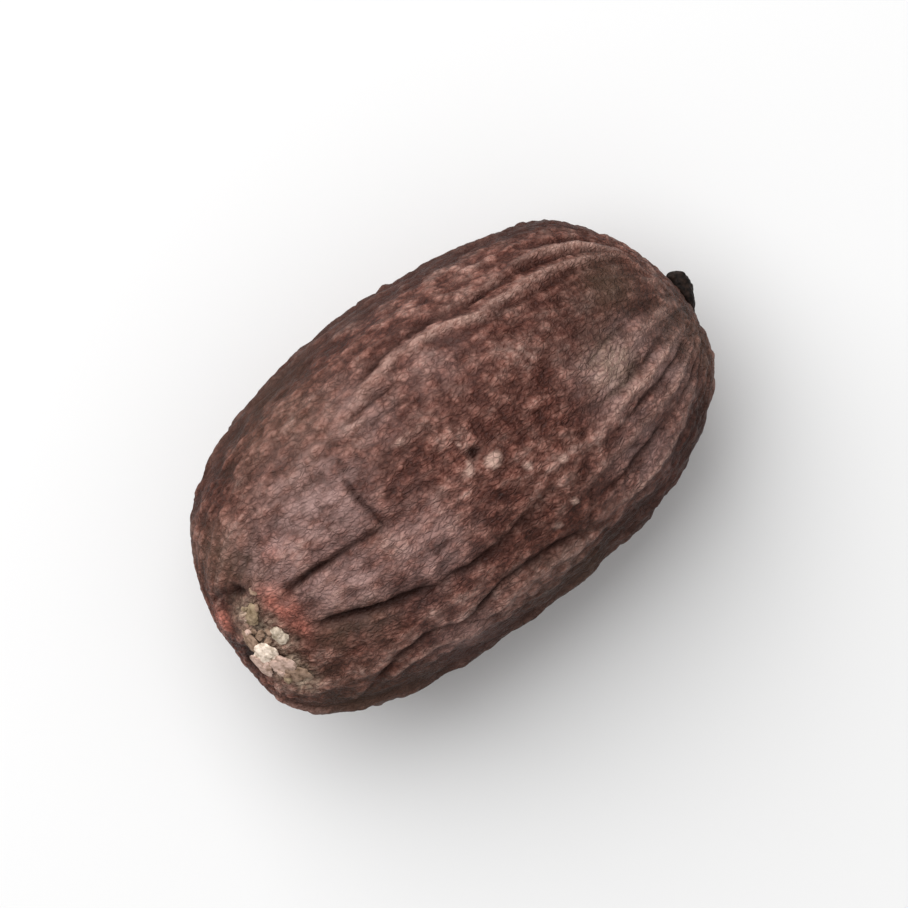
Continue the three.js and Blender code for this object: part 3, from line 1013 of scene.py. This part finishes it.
def crumbs_piece(material):
    sides, rings = CRUMB_STEPS
    crumbs = CRUMBS + small_crumbs()
    points = [crumb_points(crumb) for crumb in crumbs]
    each = len(points[0])
    faces = [face for number in range(len(crumbs)) for face in closed_faces(sides, rings, number * each)]
    piece = new_piece("scar_crumbs", np.concatenate(points), faces, material, {})
    shades = np.repeat([colour(*crumb.shade) for crumb in crumbs], each, axis=0)
    layer = piece.data.attributes.new("shade", "FLOAT_COLOR", "POINT")
    layer.data.foreach_set("color", shades.astype(np.float32).ravel())
    return piece


def crumb_material():
    material, tree, shader = new_material("corky crumb")
    shade = tree.nodes.new("ShaderNodeAttribute")
    shade.attribute_name = "shade"
    specks = ramp(tree, noise_texture(tree, CRUMB_SPECK_SIZE, detail=4), CRUMB_SPECKS)
    tone = mixed(tree, 1.0, shade.outputs["Color"], specks, "MULTIPLY")
    tree.links.new(tone, shader.inputs["Base Color"])
    shader.inputs["Roughness"].default_value = CRUMB_ROUGHNESS
    shader.inputs["Specular IOR Level"].default_value = CRUMB_SPECULAR
    bump(tree, shader, noise_texture(tree, CRUMB_BUMP_SIZE), CRUMB_BUMP)
    return material


def stand_in_place(pieces):
    """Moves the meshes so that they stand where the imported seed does, under the middle of its box."""
    corners = [np.array([vertex.co for vertex in piece.data.vertices]) for piece in pieces]
    low = np.min([part.min(axis=0) for part in corners], axis=0)
    high = np.max([part.max(axis=0) for part in corners], axis=0)
    middle = (low + high) / 2
    cad_middle = (np.array(cad_low) + np.array(cad_high)) / 2
    shift = cad_middle - middle
    shift[2] = cad_low[2] - low[2]
    for piece in pieces:
        piece.data.transform(Matrix.Translation(shift))


# Stage
FLOOR_SIZE = 800
FRAME_WIDTH = 26  # across the picture, at half the seed's height
LENS = 300
SENSOR = 36
SEED_TURN = 37.5  # how far above level the seed lies in the picture, with its beak to the right
# The nearest and the farthest that the camera shows
NEAREST = 1
FARTHEST = 2000
FLOOR_SHADE = (0.76, 0.76, 0.76, 1)
FLOOR_ROUGHNESS = 0.9
# The one lamp, above the seed and towards its +Y side
KEY_DIRECTION = (-0.1, 0.68, 1)
KEY_DISTANCE = 200
KEY_SIZE = 230
KEY_POWER = 0.52  # watts
SKY_STRENGTHS = (0.15, 0.75)  # level with the floor, and straight above


def floor_material():
    material, _, shader = new_material("pale floor")
    shader.inputs["Base Color"].default_value = FLOOR_SHADE
    shader.inputs["Roughness"].default_value = FLOOR_ROUGHNESS
    return material


def make_floor():
    half = FLOOR_SIZE / 2 * MM
    corners = [(-half, -half, 0), (half, -half, 0), (half, half, 0), (-half, half, 0)]
    mesh = bpy.data.meshes.new("floor")
    mesh.from_pydata(corners, [], [(0, 1, 2, 3)])
    mesh.materials.append(floor_material())
    floor = bpy.data.objects.new("floor", mesh)
    bpy.context.scene.collection.objects.link(floor)


def make_camera():
    data = bpy.data.cameras.new("camera")
    data.lens = LENS
    data.sensor_width = SENSOR
    data.clip_start = NEAREST * MM
    data.clip_end = FARTHEST * MM
    camera = bpy.data.objects.new("camera", data)
    distance = FRAME_WIDTH * LENS / SENSOR
    camera.location = Vector((0, 0, HALF_HEIGHT + distance)) * MM
    camera.rotation_euler = Euler((0, 0, radians(-SEED_TURN)))
    bpy.context.scene.collection.objects.link(camera)
    bpy.context.scene.camera = camera


def make_light(name, direction, distance, size, power):
    """A soft square light that faces the seed."""
    data = bpy.data.lights.new(name, "AREA")
    data.size = size * MM
    data.energy = power
    light = bpy.data.objects.new(name, data)
    towards = Vector(direction).normalized()
    light.location = towards * distance * MM
    light.rotation_euler = towards.to_track_quat("Z", "Y").to_euler()
    bpy.context.scene.collection.objects.link(light)


def make_world():
    world = bpy.data.worlds.new("studio")
    world.use_nodes = True
    tree = world.node_tree
    direction = tree.nodes.new("ShaderNodeTexCoord")
    parts = tree.nodes.new("ShaderNodeSeparateXYZ")
    tree.links.new(direction.outputs["Generated"], parts.inputs[0])
    strength = mapped(tree, parts.outputs["Z"], (0, 1), SKY_STRENGTHS)
    tree.links.new(strength, tree.nodes["Background"].inputs["Strength"])
    tree.nodes["Background"].inputs["Color"].default_value = (1, 1, 1, 1)
    bpy.context.scene.world = world
    bpy.context.scene.view_settings.view_transform = "Standard"


coat = coat_material()
pieces = [skin_piece(coat), beak_piece(beak_material()), crumbs_piece(crumb_material())]
stand_in_place(pieces)
make_floor()
make_camera()
make_light("key", KEY_DIRECTION, KEY_DISTANCE, KEY_SIZE, KEY_POWER)
make_world()
